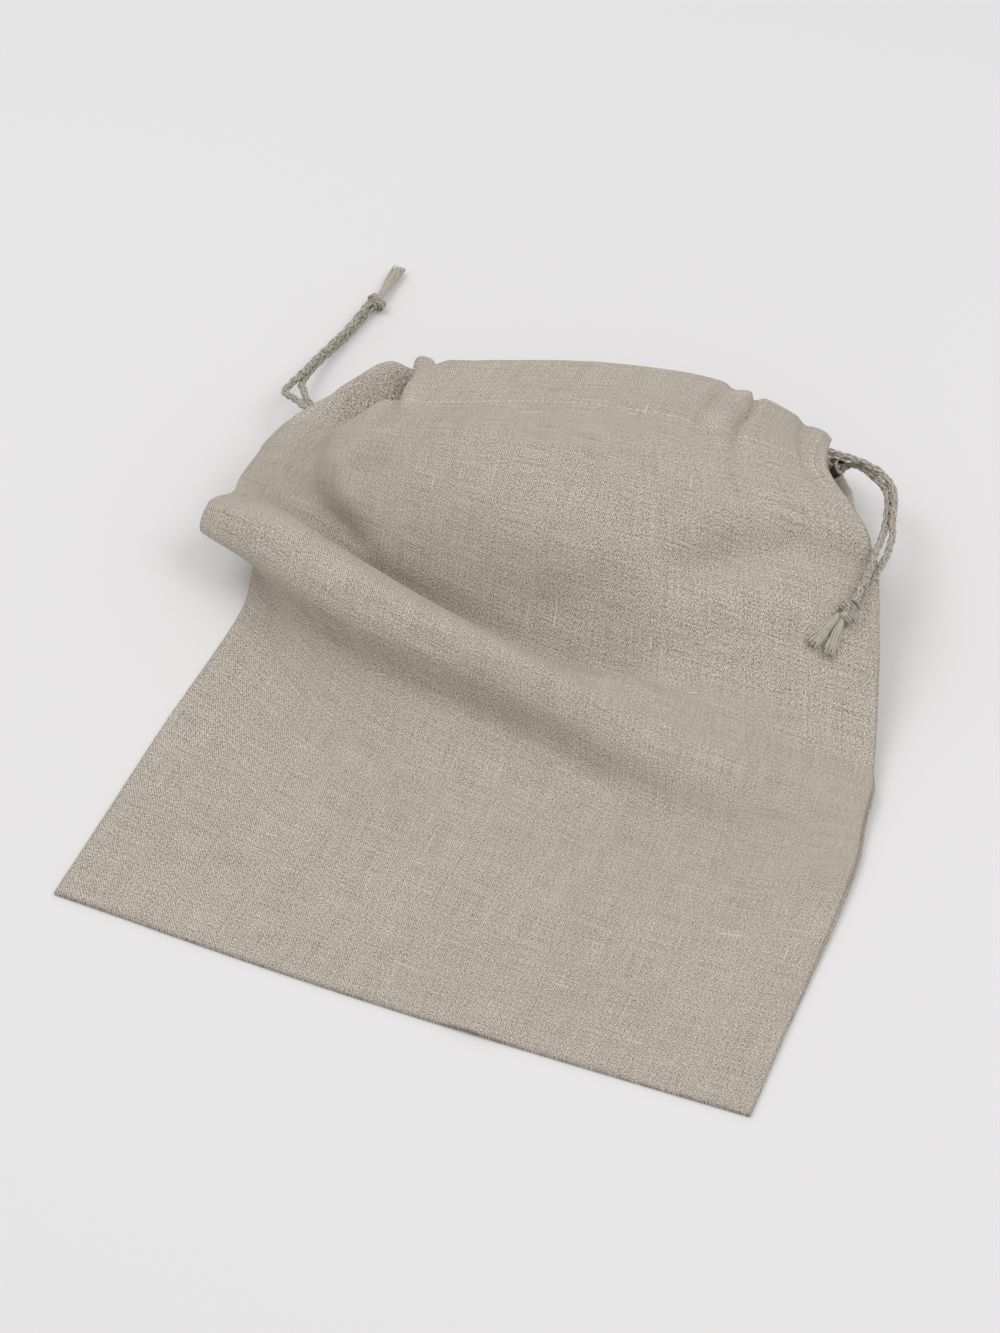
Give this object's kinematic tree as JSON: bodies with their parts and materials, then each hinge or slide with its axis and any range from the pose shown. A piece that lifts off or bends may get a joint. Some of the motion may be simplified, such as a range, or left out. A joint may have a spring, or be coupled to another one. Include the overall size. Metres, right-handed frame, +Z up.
{
  "type": "linen bread bag with drawstrings",
  "caption": "Flat linen bread bag of two sewn panels, lying down with its open upper half raised in a dome, closed by braided drawstrings with knotted, frayed ends.",
  "frame": {"origin": "on the surface that the bag lies on, under the middle of the footprint of its two panels, without the drawstrings", "axes": "+X across the bag from its left seam to its right one, +Y along it from the sewn bottom to the open mouth, +Z up"},
  "size_m": [0.4038, 0.5116, 0.0912],
  "materials": {
    "linen": "matt, natural undyed twill linen with slubs",
    "linen_cord": "matt, braided natural linen yarn"
  },
  "bodies": {
    "root": {"front_panel": "linen", "back_panel": "linen", "left_cord_in_casing": "linen_cord", "right_cord_in_casing": "linen_cord", "left_cord_front_end": "linen_cord", "left_cord_back_end": "linen_cord", "right_cord_front_end": "linen_cord", "right_cord_back_end": "linen_cord", "left_knot": "linen_cord", "right_knot": "linen_cord", "left_frayed_end": "linen_cord", "right_frayed_end_1": "linen_cord", "right_frayed_end_2": "linen_cord"}
  },
  "joints": []
}
